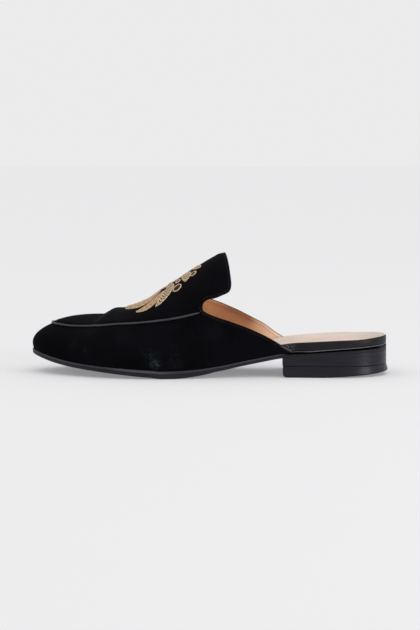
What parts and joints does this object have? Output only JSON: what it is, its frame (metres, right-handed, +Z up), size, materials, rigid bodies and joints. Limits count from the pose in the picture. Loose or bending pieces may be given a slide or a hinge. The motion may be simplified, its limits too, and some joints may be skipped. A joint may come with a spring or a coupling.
{
  "type": "mule slipper",
  "caption": "Backless slip-on shoe with a closed almond toe, raised rounded tongue, corded apron seam, sloping sides and a low stacked heel, for the left foot.",
  "frame": {"origin": "on the floor, under the middle of the shoe's outer box", "axes": "+Z up; X along the shoe with the toe at -X and the heel at +X; the outer (lateral) side faces -Y and the inner (medial) side +Y"},
  "size_m": [0.2654, 0.0896, 0.0891],
  "materials": {
    "velvet": "matte napped black",
    "piping": "satin charcoal",
    "sole_edge": "satin charcoal",
    "heel": "polished black",
    "rand": "semi-gloss black",
    "sock": "matte pale tan"
  },
  "bodies": {
    "root": {"heel_top_piece": "heel", "heel_lift": "heel", "outsole": "sole_edge", "seat_rand": "rand", "insole": "sock", "upper": "velvet", "apron_piping": "piping"}
  },
  "joints": []
}
